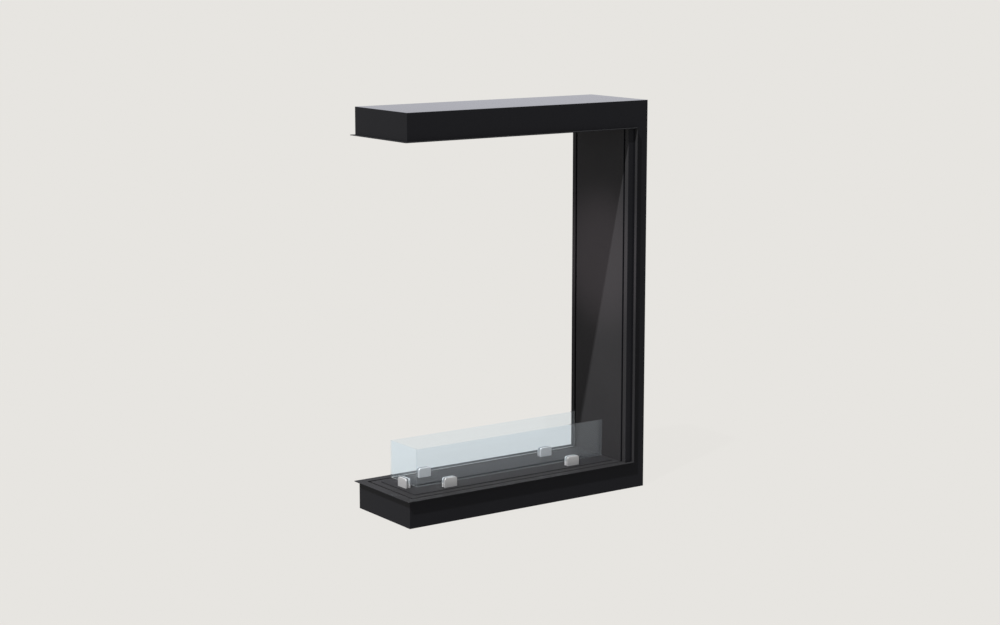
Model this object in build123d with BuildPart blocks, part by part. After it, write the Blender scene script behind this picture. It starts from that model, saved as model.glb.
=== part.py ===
from build123d import *
from math import radians, tan
import os

# Built-in bioethanol fireplace, open on its front, rear and left end: a base box with
# the burner, a column at the right end and an arm over the flames, in folded sheet steel.
#
# Frame: millimetres, +X along the length towards the column, +Y towards the rear,
# +Z up. The origin is on the floor under the middle of the overall box.

# ---------------------------------------------------------------- driving dimensions

# casing
casing_length = 1000.0          # outer face of the open end to outer face of the column
casing_depth = 326.0            # front face to rear face
base_height = 97.0              # floor to the top of the base flange
opening_height = 1200.0         # base flange to top flange
arm_height = 97.0               # underside of the top flange to the top of the casing
column_width = 54.0             # column flange face to the outer side
casing_sheet = 2.0              # thickness of the casing panels

# trim flange that laps over the plasterboard around the opening
flange_sheet = 2.5
flange_overhang = 12.5          # how far it stands out of the casing faces
flange_inner_width = 20.2       # how far it runs inwards from the casing faces
shadow_gap = 7.3                # dark groove between the flange and the plates inside it

# liner on the column
liner_depth = 29.5              # how far it stands out of the column flange
liner_sheet = 2.0
liner_return = 15.0             # folded edge beside the groove
bracket_height = 30.0           # hat brackets behind the liner panel
bracket_width = 220.0
bracket_sheet = 1.5
bracket_flange = 18.0
bracket_count = 3
bracket_end_distance = 150.0    # from the ends of the liner to the first bracket

# plate around the burner and the rails that carry it
surround_sheet = 2.5
surround_edge_height = 19.0     # face of the plate to the foot of its edge strips
surround_edge_gap = 0.5         # between the edge strips at the corners
surround_cutout_gap = 2.0       # around the lip of the burner tank
rail_sheet = 2.0
rail_shelf = 26.8

# ceiling panel
ceiling_sheet = 2.0
ceiling_fold = 19.0

# burner deck, the raised plate with the slot
deck_glass_margin = 24.0        # outer face of the glass to the edge of the deck
deck_sheet = 2.0
deck_liner_gap = 16.5           # right edge of the deck to the liner
deck_lift_gap = 0.3             # between the deck and the plate under it
deck_corner_radius = 2.0

# burner tank, its slot collar and its filling
slot_width = 20.0
collar_sheet = 1.5
collar_depth = 18.0
collar_fit = 0.1
tank_end_margin = 13.0          # from the ends of the slot to the ends of the tank
tank_width = 120.0
tank_height = 62.0
tank_sheet = 1.5
tank_lip = 12.0
tank_corner_radius = 8.0
absorber_clearance = 1.0
absorber_headroom = 2.0         # between the absorber and the collar

# lid over the slot, hinged along its rear edge
lid_end_overlap = 5.0           # over the ends of the slot
lid_side_overlap = 4.0          # over the sides of the slot
lid_clamp_gap = 19.25           # between the clamp of the end glass and the hinge bracket
lid_sheet = 4.0
lid_gap = 0.3                   # under the closed lid
lid_hook_hole_diameter = 4.0
lid_hook_hole_distance = 12.0   # from the pivot line to the hook hole
lid_edge_radius = 0.8
pivot_diameter = 2.4
pivot_clearance = 0.05          # radial, pin in the lid
pivot_pin_length = 12.0
pivot_bore_depth = 8.0
hinge_bracket_sheet = 4.5
hinge_bracket_width = 9.0
hinge_bracket_gap = 0.5         # beside the ends of the lid

# glass screens
glass_sheet = 5.0
glass_inset = 78.5              # from the casing faces to the outer face of the glass
glass_liner_gap = 45.5          # right end of the long panels to the liner
glass_height = 131.0
glass_lift = 17.0               # deck to the lower edge of the glass
glass_corner_gap = 0.5          # between the end panel and the long panels
glass_edge_chamfer = 0.6

# glass clamps
clamp_length = 50.0
clamp_height = 33.0
cheek_thickness = 6.7
clamp_corner_radius = 8.0
clamp_edge_radius = 1.6
clamp_end_distance = 134.4      # ends of the long panels to the middle of the clamps
core_length = 40.0
pad_thickness = 0.75
pad_clearance = 0.05            # between pad and glass
pad_length = 40.0
pad_margin = 1.0                # pad to the top of the core and to the top of the cheek

# screws
cross_screw_diameter = 5.0
cross_screw_spacing = 30.0
cross_screw_height = 8.0        # above the deck
cross_screw_bite = 3.5          # depth in the outer cheek
cross_screw_socket = 3.0
cross_screw_socket_depth = 2.0
floor_screw_diameter = 4.0
floor_screw_spacing = 12.0
floor_screw_bite = 10.0         # depth in the core
floor_screw_socket = 2.5
floor_screw_socket_depth = 1.2
screw_head_ratio = 1.9          # head diameter over shank diameter
screw_fit = 0.05                # radial, around shank and head
screw_hole_spare = 0.5          # blind hole past the tip of the screw
countersink_angle = 90.0

# spill tray under the tank
spill_sheet = 1.2
spill_height = 26.0
spill_margin = 8.0              # around the tank

# fixing holes
fixing_hole_diameter = 9.0
floor_fixing_end_distance = 70.0    # from the ends of the casing
floor_fixing_side_distance = 23.0   # from its front and rear faces
wall_fixing_side_distance = 43.0
wall_fixing_end_distance = 117.0    # from its bottom and top

# stiffening inside the casing
web_sheet = 3.0
web_leg = 260.0                 # length of the corner webs along the arm and the base
web_column_leg = 300.0
web_spacing = 200.0
web_margin = 3.0
stiffener_sheet = 1.5
stiffener_flange = 15.0
column_stiffener_width = 60.0
column_stiffener_depth = 40.0
arm_stiffener_width = 60.0
arm_stiffener_depth = 50.0
arm_stiffener_end_gap = 126.5   # to the sheet at the open end

# ---------------------------------------------------------------- places worked out

overall_length = casing_length + flange_overhang
end_x = flange_overhang - overall_length / 2        # outer face of the open end
right_x = end_x + casing_length
front_y = -casing_depth / 2
total_height = base_height + opening_height + arm_height
ceiling_z = base_height + opening_height
column_x = right_x - column_width                   # face of the column flange
liner_x = column_x - liner_depth                    # face of the column liner
inner_right_x = right_x - casing_sheet
inner_end_x = end_x + casing_sheet
inner_half_y = casing_depth / 2 - casing_sheet

flange_half_y = casing_depth / 2 + flange_overhang
flange_inner_y = casing_depth / 2 - flange_inner_width
flange_end_x = end_x - flange_overhang
flange_inner_x = end_x + flange_inner_width
flange_right_x = column_x + flange_sheet
plate_half_y = flange_inner_y - shadow_gap          # edge of the plates inside the groove
plate_end_x = flange_inner_x + shadow_gap
rail_shelf_y = flange_inner_y - rail_shelf

deck_z = base_height + deck_lift_gap
deck_top = deck_z + deck_sheet
deck_inset = glass_inset - deck_glass_margin
deck_end_x = end_x + deck_inset
deck_right_x = liner_x - deck_liner_gap
deck_length = deck_right_x - deck_end_x
deck_width = casing_depth - 2 * deck_inset
deck_x = (deck_right_x + deck_end_x) / 2

glass_bottom = deck_top + glass_lift
glass_y = casing_depth / 2 - glass_inset - glass_sheet / 2
glass_end_x = end_x + glass_inset + glass_sheet / 2
glass_left_x = end_x + glass_inset
glass_right_x = liner_x - glass_liner_gap
end_glass_length = 2 * glass_y - glass_sheet - 2 * glass_corner_gap
slot_half = glass_sheet / 2 + pad_clearance + pad_thickness
clamp_left_x = glass_left_x + clamp_end_distance
clamp_right_x = glass_right_x - clamp_end_distance
clamp_inner_x = glass_end_x + slot_half + cheek_thickness

lid_end_x = clamp_inner_x + lid_clamp_gap + hinge_bracket_sheet + hinge_bracket_gap
lid_length = 2 * (deck_x - lid_end_x)
lid_width = slot_width + 2 * lid_side_overlap
lid_bottom = deck_top + lid_gap
pivot_z = lid_bottom + lid_sheet / 2
pivot_y = lid_width / 2 - lid_sheet / 2

slot_length = lid_length - 2 * lid_end_overlap
tank_length = slot_length + 2 * tank_end_margin
tank_outer_length = tank_length + 2 * tank_lip
tank_outer_width = tank_width + 2 * tank_lip
tank_bottom = deck_z - tank_height
absorber_top = deck_top - collar_depth - absorber_headroom

# name, middle of the clamp, direction along the glass and outward normal of the glass
clamps = [
    ("front_left", (clamp_left_x, -glass_y), (1, 0), (0, -1)),
    ("front_right", (clamp_right_x, -glass_y), (1, 0), (0, -1)),
    ("rear_left", (clamp_left_x, glass_y), (-1, 0), (0, 1)),
    ("rear_right", (clamp_right_x, glass_y), (-1, 0), (0, 1)),
    ("end", (glass_end_x, 0), (0, -1), (-1, 0)),
]

os.makedirs("parts", exist_ok=True)


def save(solid, name):
    """Label a finished piece and write its STEP file."""
    solid.label = name
    export_step(solid, f"parts/{name}.step")


def box_between(x, y, z, mode=Mode.ADD):
    """Box given by its lowest and highest value along each axis."""
    with Locations(((x[0] + x[1]) / 2, (y[0] + y[1]) / 2, (z[0] + z[1]) / 2)):
        Box(x[1] - x[0], y[1] - y[0], z[1] - z[0], mode=mode)


# ---------------------------------------------------------------- casing

def c_panel(outer_y, direction):
    """C-shaped face of the casing, from its outer face inwards along direction."""
    with BuildPart() as panel:
        with BuildSketch(Plane.XZ.offset(-outer_y)):
            with Locations(((end_x + right_x) / 2, total_height / 2)):
                Rectangle(casing_length, total_height)
            opening_low = base_height - flange_sheet
            opening_high = ceiling_z + flange_sheet
            opening_right = column_x + flange_sheet
            with Locations(((end_x + opening_right) / 2, (opening_low + opening_high) / 2)):
                Rectangle(opening_right - end_x, opening_high - opening_low, mode=Mode.SUBTRACT)
        extrude(amount=-direction * casing_sheet)
    return panel.part


save(c_panel(front_y, 1), "front_casing_panel")
save(c_panel(-front_y, -1), "rear_casing_panel")

with BuildPart() as bottom_panel:
    box_between((inner_end_x, inner_right_x), (-inner_half_y, inner_half_y), (0, casing_sheet))
    with Locations(((end_x + right_x) / 2, 0, 0)):
        floor_spacing_x = casing_length - 2 * floor_fixing_end_distance
        floor_spacing_y = casing_depth - 2 * floor_fixing_side_distance
        with GridLocations(floor_spacing_x, floor_spacing_y, 2, 2):
            Hole(fixing_hole_diameter / 2)
save(bottom_panel.part, "bottom_panel")

with BuildPart() as top_panel:
    top_z = (total_height - casing_sheet, total_height)
    box_between((inner_end_x, inner_right_x), (-inner_half_y, inner_half_y), top_z)
save(top_panel.part, "top_panel")

with BuildPart() as right_side_panel:
    box_between((inner_right_x, right_x), (-inner_half_y, inner_half_y), (0, total_height))
    with Locations(Plane((right_x, 0, total_height / 2), x_dir=(0, 1, 0), z_dir=(1, 0, 0))):
        wall_spacing_y = casing_depth - 2 * wall_fixing_side_distance
        wall_spacing_z = total_height - 2 * wall_fixing_end_distance
        with GridLocations(wall_spacing_y, wall_spacing_z, 2, 2):
            Hole(fixing_hole_diameter / 2, depth=casing_sheet)
save(right_side_panel.part, "right_side_panel")

with BuildPart() as base_end_panel:
    base_end_z = (0, base_height - flange_sheet)
    box_between((end_x, inner_end_x), (-inner_half_y, inner_half_y), base_end_z)
save(base_end_panel.part, "base_end_panel")

with BuildPart() as arm_end_panel:
    arm_end_z = (ceiling_z + flange_sheet, total_height)
    box_between((end_x, inner_end_x), (-inner_half_y, inner_half_y), arm_end_z)
save(arm_end_panel.part, "arm_end_panel")

# ---------------------------------------------------------------- trim flanges


def flange_strips(prefix, z):
    """Flat trim on one side of the opening: front, rear and end strips."""
    front = (-flange_half_y, -flange_inner_y)
    rear = (flange_inner_y, flange_half_y)
    for side, y in (("front", front), ("rear", rear)):
        with BuildPart() as strip:
            box_between((flange_end_x, flange_right_x), y, (z, z + flange_sheet))
        save(strip.part, f"{prefix}_flange_{side}")
    end_y = (-flange_inner_y, flange_inner_y)
    with BuildPart() as end_strip:
        box_between((flange_end_x, flange_inner_x), end_y, (z, z + flange_sheet))
    save(end_strip.part, f"{prefix}_flange_end")


flange_strips("base", base_height - flange_sheet)
flange_strips("top", ceiling_z)

with BuildPart() as column_flange:
    box_between((column_x, flange_right_x), (-flange_half_y, flange_half_y), (base_height, ceiling_z))
save(column_flange.part, "column_flange")

# ---------------------------------------------------------------- column liner


def liner_strip(side):
    """Folded strip at the front (side -1) or rear (side 1) of the column liner."""
    outer_y = side * casing_depth / 2
    groove_y = side * flange_inner_y
    inner_x = liner_x + liner_return
    with BuildPart() as strip:
        with BuildSketch(Plane.XY.offset(base_height)):
            with BuildLine():
                Polyline((column_x, outer_y), (liner_x, outer_y), (liner_x, groove_y), (inner_x, groove_y))
                offset(amount=liner_sheet, side=Side.LEFT if side > 0 else Side.RIGHT)
            make_face()
        extrude(amount=opening_height)
    return strip.part


save(liner_strip(-1), "column_liner_front")
save(liner_strip(1), "column_liner_rear")

with BuildPart() as column_liner_panel:
    with BuildSketch(Plane.XY.offset(base_height)):
        with BuildLine():
            fold_x = liner_x + liner_return
            Polyline(
                (fold_x, -plate_half_y),
                (liner_x, -plate_half_y),
                (liner_x, plate_half_y),
                (fold_x, plate_half_y),
            )
            offset(amount=liner_sheet, side=Side.RIGHT)
        make_face()
    extrude(amount=opening_height)
save(column_liner_panel.part, "column_liner_panel")

with BuildPart() as column_liner_brackets:
    web_x = liner_x + liner_sheet + bracket_sheet
    first_z = base_height + bracket_end_distance
    last_z = ceiling_z - bracket_end_distance
    step_z = (last_z - first_z) / (bracket_count - 1)
    half = bracket_height / 2
    with BuildSketch(Plane.XZ.offset(-bracket_width / 2)):
        for index in range(bracket_count):
            z = first_z + index * step_z
            with BuildLine():
                Polyline(
                    (column_x, z - half - bracket_flange),
                    (column_x, z - half),
                    (web_x, z - half),
                    (web_x, z + half),
                    (column_x, z + half),
                    (column_x, z + half + bracket_flange),
                )
                offset(amount=bracket_sheet, side=Side.LEFT)
            make_face()
    extrude(amount=bracket_width)
save(column_liner_brackets.part, "column_liner_brackets")

# ---------------------------------------------------------------- rails beside the grooves


def z_rail_section(wall, groove, shelf_end, flange_z, shelf_z):
    """Path of a Z rail: leg behind the flange, web beside the groove, shelf under the fold."""
    return [(wall, flange_z), (groove, flange_z), (groove, shelf_z), (shelf_end, shelf_z)]


def side_rail(side, flange_z, shelf_z):
    """Rail along the front (side -1) or rear (side 1) of the base or of the arm."""
    wall = side * inner_half_y
    groove = side * flange_inner_y
    shelf_end = side * rail_shelf_y
    outwards = Side.RIGHT if side * (flange_z - shelf_z) < 0 else Side.LEFT
    with BuildPart() as rail:
        with BuildSketch(Plane.YZ.offset(inner_end_x)):
            with BuildLine():
                Polyline(*z_rail_section(wall, groove, shelf_end, flange_z, shelf_z))
                offset(amount=rail_sheet, side=outwards)
            make_face()
        extrude(amount=column_x - inner_end_x)
    return rail.part


def end_rail(flange_z, shelf_z):
    """Rail along the open end of the base or of the arm."""
    shelf_end = flange_inner_x + rail_shelf
    outwards = Side.RIGHT if flange_z > shelf_z else Side.LEFT
    with BuildPart() as rail:
        with BuildSketch(Plane.XZ.offset(-rail_shelf_y)):
            with BuildLine():
                Polyline(*z_rail_section(inner_end_x, flange_inner_x, shelf_end, flange_z, shelf_z))
                offset(amount=rail_sheet, side=outwards)
            make_face()
        extrude(amount=2 * rail_shelf_y)
    return rail.part


tray_rail_z = (base_height - flange_sheet, base_height - surround_edge_height)
ceiling_rail_z = (ceiling_z + flange_sheet, ceiling_z + ceiling_fold)
for prefix, rail_z in (("tray", tray_rail_z), ("ceiling", ceiling_rail_z)):
    save(side_rail(-1, *rail_z), f"{prefix}_rail_front")
    save(side_rail(1, *rail_z), f"{prefix}_rail_rear")
    save(end_rail(*rail_z), f"{prefix}_rail_end")

# ---------------------------------------------------------------- plates inside the grooves


with BuildPart() as tray_surround:
    surround_z = (base_height - surround_sheet, base_height)
    box_between((plate_end_x, column_x), (-plate_half_y, plate_half_y), surround_z)
    with BuildSketch(Plane.XY.offset(base_height)):
        with Locations((deck_x, 0)):
            cutout_length = tank_outer_length + 2 * surround_cutout_gap
            cutout_width = tank_outer_width + 2 * surround_cutout_gap
            RectangleRounded(cutout_length, cutout_width, tank_corner_radius)
    extrude(amount=-surround_sheet, mode=Mode.SUBTRACT)
save(tray_surround.part, "tray_surround")

with BuildPart() as tray_edge_strips:
    strip_z = (base_height - surround_edge_height, base_height - surround_sheet)
    strip_x = plate_end_x + surround_sheet
    side_strip_x = (strip_x + surround_edge_gap, column_x)
    box_between((plate_end_x, strip_x), (-plate_half_y, plate_half_y), strip_z)
    box_between(side_strip_x, (-plate_half_y, -plate_half_y + surround_sheet), strip_z)
    box_between(side_strip_x, (plate_half_y - surround_sheet, plate_half_y), strip_z)
save(tray_edge_strips.part, "tray_edge_strips")

with BuildPart() as ceiling_panel:
    sheet_z = (ceiling_z, ceiling_z + ceiling_sheet)
    fold_z = (ceiling_z, ceiling_z + ceiling_fold)
    box_between((plate_end_x, column_x), (-plate_half_y, plate_half_y), sheet_z)
    box_between((plate_end_x, plate_end_x + ceiling_sheet), (-plate_half_y, plate_half_y), fold_z)
    box_between((plate_end_x, column_x), (-plate_half_y, -plate_half_y + ceiling_sheet), fold_z)
    box_between((plate_end_x, column_x), (plate_half_y - ceiling_sheet, plate_half_y), fold_z)
save(ceiling_panel.part, "ceiling_panel")

# ---------------------------------------------------------------- stiffening in the casing


def corner_web_outline(corner_z, wall_z, leg_z):
    """L-shaped outline of a web between a closing plate and the outer wall of the casing."""
    near_x = flange_right_x + web_margin
    return [
        (near_x - web_leg, corner_z),
        (near_x, corner_z),
        (near_x, leg_z),
        (inner_right_x, leg_z),
        (inner_right_x, wall_z),
        (near_x - web_leg, wall_z),
    ]


with BuildPart() as corner_webs:
    arm_low_z = ceiling_z + flange_sheet + web_margin
    arm_high_z = total_height - casing_sheet
    base_high_z = base_height - flange_sheet - web_margin
    arm_outline = corner_web_outline(arm_low_z, arm_high_z, ceiling_z - web_column_leg)
    base_outline = corner_web_outline(base_high_z, casing_sheet, base_height + web_column_leg)
    for web_y in (-web_spacing / 2, web_spacing / 2):
        with BuildSketch(Plane.XZ.offset(-web_y)):
            for outline in (arm_outline, base_outline):
                with BuildLine():
                    Polyline(*outline, close=True)
                make_face()
        extrude(amount=web_sheet / 2, both=True)
save(corner_webs.part, "corner_webs")

with BuildPart() as column_stiffener:
    half = column_stiffener_width / 2
    with BuildSketch(Plane.XY.offset(base_height)):
        with BuildLine():
            edge_x = inner_right_x - column_stiffener_depth
            Polyline((edge_x, -half), (inner_right_x, -half), (inner_right_x, half), (edge_x, half))
            offset(amount=stiffener_sheet, side=Side.LEFT)
        make_face()
    extrude(amount=opening_height)
save(column_stiffener.part, "column_stiffener")

with BuildPart() as arm_stiffener:
    half = arm_stiffener_width / 2
    start_x = inner_end_x + arm_stiffener_end_gap
    with BuildSketch(Plane.YZ.offset(start_x)):
        with BuildLine():
            web_z = total_height - casing_sheet
            edge_z = web_z - arm_stiffener_depth
            Polyline((-half, edge_z), (-half, web_z), (half, web_z), (half, edge_z))
            offset(amount=stiffener_sheet, side=Side.RIGHT)
        make_face()
    extrude(amount=flange_right_x - web_leg - start_x)
save(arm_stiffener.part, "arm_stiffener")

with BuildPart() as spill_tray:
    with BuildSketch(Plane.XY.offset(casing_sheet)):
        with Locations((deck_x, 0)):
            Rectangle(tank_length + 2 * spill_margin, tank_width + 2 * spill_margin)
    extrude(amount=spill_height)
    offset(amount=-spill_sheet, openings=spill_tray.faces().sort_by(Axis.Z)[-1])
save(spill_tray.part, "spill_tray")

# ---------------------------------------------------------------- burner


def clamp_plane(clamp):
    """Plane in the middle of a clamp: X along the glass, Y up, Z out of the burner."""
    _, (x, y), along, outwards = clamp
    return Plane((x, y, deck_top), x_dir=(*along, 0), z_dir=(*outwards, 0))


def floor_screw_points():
    """Points on the underside of the deck where the clamps are screwed on."""
    points = []
    for _, (x, y), (along_x, along_y), _ in clamps:
        for step in (-floor_screw_spacing / 2, floor_screw_spacing / 2):
            points.append((x + step * along_x, y + step * along_y, deck_z))
    return points


with BuildPart() as burner_deck:
    with BuildSketch(Plane.XY.offset(deck_z)):
        with Locations((deck_x, 0)):
            RectangleRounded(deck_length, deck_width, deck_corner_radius)
            Rectangle(slot_length + 2 * collar_fit, slot_width + 2 * collar_fit, mode=Mode.SUBTRACT)
    extrude(amount=deck_sheet)
    for point in floor_screw_points():
        with Locations(Plane(point, z_dir=(0, 0, -1))):
            CounterSinkHole(
                floor_screw_diameter / 2 + screw_fit,
                floor_screw_diameter / 2 * screw_head_ratio + screw_fit,
                depth=deck_sheet,
                counter_sink_angle=countersink_angle,
            )
save(burner_deck.part, "burner_deck")

with BuildPart() as burner_tank:
    with BuildSketch(Plane.XY.offset(tank_bottom)):
        with Locations((deck_x, 0)):
            RectangleRounded(tank_length, tank_width, tank_corner_radius)
    extrude(amount=tank_height)
    with BuildSketch(Plane.XY.offset(deck_z)):
        with Locations((deck_x, 0)):
            RectangleRounded(tank_outer_length, tank_outer_width, tank_corner_radius)
    extrude(amount=-tank_sheet)
    with BuildSketch(Plane.XY.offset(tank_bottom + tank_sheet)):
        with Locations((deck_x, 0)):
            inner_length = tank_length - 2 * tank_sheet
            inner_width = tank_width - 2 * tank_sheet
            RectangleRounded(inner_length, inner_width, tank_corner_radius - tank_sheet)
    extrude(amount=tank_height, mode=Mode.SUBTRACT)
save(burner_tank.part, "burner_tank")

with BuildPart() as slot_collar:
    with BuildSketch(Plane.XY.offset(deck_top)):
        with Locations((deck_x, 0)):
            Rectangle(slot_length, slot_width)
            Rectangle(slot_length - 2 * collar_sheet, slot_width - 2 * collar_sheet, mode=Mode.SUBTRACT)
    extrude(amount=-collar_depth)
save(slot_collar.part, "slot_collar")

with BuildPart() as ceramic_absorber:
    absorber_inset = tank_sheet + absorber_clearance
    absorber_z = tank_bottom + tank_sheet
    with BuildSketch(Plane.XY.offset(absorber_z)):
        with Locations((deck_x, 0)):
            absorber_length = tank_length - 2 * absorber_inset
            absorber_width = tank_width - 2 * absorber_inset
            RectangleRounded(absorber_length, absorber_width, tank_corner_radius - absorber_inset)
    extrude(amount=absorber_top - absorber_z)
save(ceramic_absorber.part, "ceramic_absorber")

# ---------------------------------------------------------------- lid and its hinge

with BuildPart() as burner_lid:
    with BuildSketch(Plane.YZ.offset(deck_x - lid_length / 2)):
        with Locations(((pivot_y - lid_width / 2) / 2, pivot_z)):
            Rectangle(pivot_y + lid_width / 2, lid_sheet)
        with Locations((pivot_y, pivot_z)):
            Circle(lid_sheet / 2)
    extrude(amount=lid_length)
    fillet(burner_lid.faces().sort_by(Axis.Y)[0].edges().filter_by(Axis.X), radius=lid_edge_radius)
    for side in (-1, 1):
        with Locations(Plane((deck_x + side * lid_length / 2, pivot_y, pivot_z), z_dir=(side, 0, 0))):
            Hole(pivot_diameter / 2 + pivot_clearance, depth=pivot_bore_depth)
    with Locations(Plane((deck_x, pivot_y - lid_hook_hole_distance, lid_bottom + lid_sheet))):
        Hole(lid_hook_hole_diameter / 2, depth=lid_sheet)
save(burner_lid.part, "burner_lid")

with BuildPart() as lid_hinge_brackets:
    for side in (-1, 1):
        inner_x = side * (lid_length / 2 + hinge_bracket_gap)
        bracket_low_x = deck_x + min(inner_x, inner_x + side * hinge_bracket_sheet)
        with BuildSketch(Plane.YZ.offset(bracket_low_x)):
            with Locations((pivot_y, (deck_top + pivot_z) / 2)):
                Rectangle(hinge_bracket_width, pivot_z - deck_top)
            with Locations((pivot_y, pivot_z)):
                Circle(hinge_bracket_width / 2)
            with Locations((pivot_y, deck_top - hinge_bracket_width / 2)):
                Rectangle(hinge_bracket_width, hinge_bracket_width, mode=Mode.SUBTRACT)
            with Locations((pivot_y, pivot_z)):
                Circle(pivot_diameter / 2 + pivot_clearance, mode=Mode.SUBTRACT)
        extrude(amount=hinge_bracket_sheet)
save(lid_hinge_brackets.part, "lid_hinge_brackets")

with BuildPart() as lid_pivot_pins:
    for side in (-1, 1):
        outer_x = deck_x + side * (lid_length / 2 + hinge_bracket_gap + hinge_bracket_sheet)
        with Locations(Plane((outer_x, pivot_y, pivot_z), z_dir=(-side, 0, 0))):
            pin_align = (Align.CENTER, Align.CENTER, Align.MIN)
            Cylinder(pivot_diameter / 2, pivot_pin_length, align=pin_align)
save(lid_pivot_pins.part, "lid_pivot_pins")

# ---------------------------------------------------------------- glass screens


def glass_panel(x, y, name):
    """Upright glass sheet with bevelled edges."""
    with BuildPart() as panel:
        box_between(x, y, (glass_bottom, glass_bottom + glass_height))
        chamfer(panel.edges(), length=glass_edge_chamfer)
    save(panel.part, name)


half_glass = glass_sheet / 2
glass_panel((glass_left_x, glass_right_x), (-glass_y - half_glass, -glass_y + half_glass), "glass_front")
glass_panel((glass_left_x, glass_right_x), (glass_y - half_glass, glass_y + half_glass), "glass_rear")
end_glass_x = (glass_end_x - half_glass, glass_end_x + half_glass)
glass_panel(end_glass_x, (-end_glass_length / 2, end_glass_length / 2), "glass_end")

# ---------------------------------------------------------------- glass clamps

cross_screw_steps = (-cross_screw_spacing / 2, cross_screw_spacing / 2)


def cross_hole_plane(clamp, step, depth):
    """Plane on the line of a cross screw, depth outwards from the glass, facing the burner."""
    middle = clamp_plane(clamp)
    point = middle.from_local_coords(Vector(step, cross_screw_height, depth))
    return Plane(point, z_dir=-middle.z_dir)


def clamp_cheek(clamp, side):
    """Rounded cheek on the outer side (1) or the burner side (-1) of the glass."""
    middle = clamp_plane(clamp)
    with BuildPart() as cheek:
        with BuildSketch(middle.offset(side * slot_half)) as outline:
            with Locations((0, clamp_height / 2)):
                Rectangle(clamp_length, clamp_height)
            fillet(outline.vertices().group_by(Axis.Y)[-1], radius=clamp_corner_radius)
        extrude(amount=side * cheek_thickness)
        outer_face = cheek.faces().sort_by(Axis(middle.origin, middle.z_dir * side))[-1]
        fillet(outer_face.edges().sort_by(Axis.Z)[1:], radius=clamp_edge_radius)
        for step in cross_screw_steps:
            if side < 0:
                with Locations(cross_hole_plane(clamp, step, -slot_half - cheek_thickness)):
                    CounterSinkHole(
                        cross_screw_diameter / 2 + screw_fit,
                        cross_screw_diameter / 2 * screw_head_ratio + screw_fit,
                        depth=cheek_thickness,
                        counter_sink_angle=countersink_angle,
                    )
            else:
                with Locations(cross_hole_plane(clamp, step, slot_half)):
                    hole_depth = cross_screw_bite + screw_hole_spare
                    Hole(cross_screw_diameter / 2 + screw_fit, depth=hole_depth)
    return cheek.part


def clamp_core(clamp):
    """Block between the cheeks that the glass stands on."""
    middle = clamp_plane(clamp)
    with BuildPart() as core:
        with BuildSketch(middle.offset(-slot_half)):
            with Locations((0, glass_lift / 2)):
                Rectangle(core_length, glass_lift)
        extrude(amount=2 * slot_half)
        for step in cross_screw_steps:
            with Locations(cross_hole_plane(clamp, step, -slot_half)):
                Hole(cross_screw_diameter / 2 + screw_fit, depth=2 * slot_half)
        for step in (-floor_screw_spacing / 2, floor_screw_spacing / 2):
            with Locations(Plane(middle.from_local_coords(Vector(step, 0, 0)), z_dir=(0, 0, -1))):
                Hole(floor_screw_diameter / 2 + screw_fit, depth=floor_screw_bite + screw_hole_spare)
    return core.part


for clamp in clamps:
    save(clamp_cheek(clamp, 1), f"clamp_outer_cheek_{clamp[0]}")
    save(clamp_cheek(clamp, -1), f"clamp_inner_cheek_{clamp[0]}")
    save(clamp_core(clamp), f"clamp_core_{clamp[0]}")

with BuildPart() as clamp_pads:
    pad_low = glass_lift + pad_margin
    pad_high = clamp_height - pad_margin
    for clamp in clamps:
        for side in (-1, 1):
            with BuildSketch(clamp_plane(clamp).offset(side * (half_glass + pad_clearance))):
                with Locations((0, (pad_low + pad_high) / 2)):
                    Rectangle(pad_length, pad_high - pad_low)
            extrude(amount=side * pad_thickness)
save(clamp_pads.part, "clamp_pads")

# ---------------------------------------------------------------- screws


def countersunk_screws(planes, diameter, length, socket, socket_depth):
    """Countersunk socket screws, heads on the given planes and shanks behind them."""
    shank_radius = diameter / 2
    head_radius = shank_radius * screw_head_ratio
    head_height = (head_radius - shank_radius) / tan(radians(countersink_angle / 2))
    top = (Align.CENTER, Align.CENTER, Align.MAX)
    with BuildPart() as screws:
        for plane in planes:
            with Locations(plane):
                Cylinder(shank_radius, length, align=top)
                Cone(shank_radius, head_radius, head_height, align=top)
            with BuildSketch(plane):
                RegularPolygon(socket / 2, 6, major_radius=False)
            extrude(amount=-socket_depth, mode=Mode.SUBTRACT)
    return screws.part


cross_planes = []
for clamp in clamps:
    for step in cross_screw_steps:
        cross_planes.append(cross_hole_plane(clamp, step, -slot_half - cheek_thickness))
cross_length = cheek_thickness + 2 * slot_half + cross_screw_bite
save(
    countersunk_screws(
        cross_planes,
        cross_screw_diameter,
        cross_length,
        cross_screw_socket,
        cross_screw_socket_depth,
    ),
    "clamp_cross_screws",
)

floor_planes = [Plane(point, z_dir=(0, 0, -1)) for point in floor_screw_points()]
save(
    countersunk_screws(
        floor_planes,
        floor_screw_diameter,
        deck_sheet + floor_screw_bite,
        floor_screw_socket,
        floor_screw_socket_depth,
    ),
    "clamp_floor_screws",
)
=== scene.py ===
"""Bioethanol fireplace: its folded sheet skins, glass clamps, fibre mat, finishes and studio."""

import math

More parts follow.
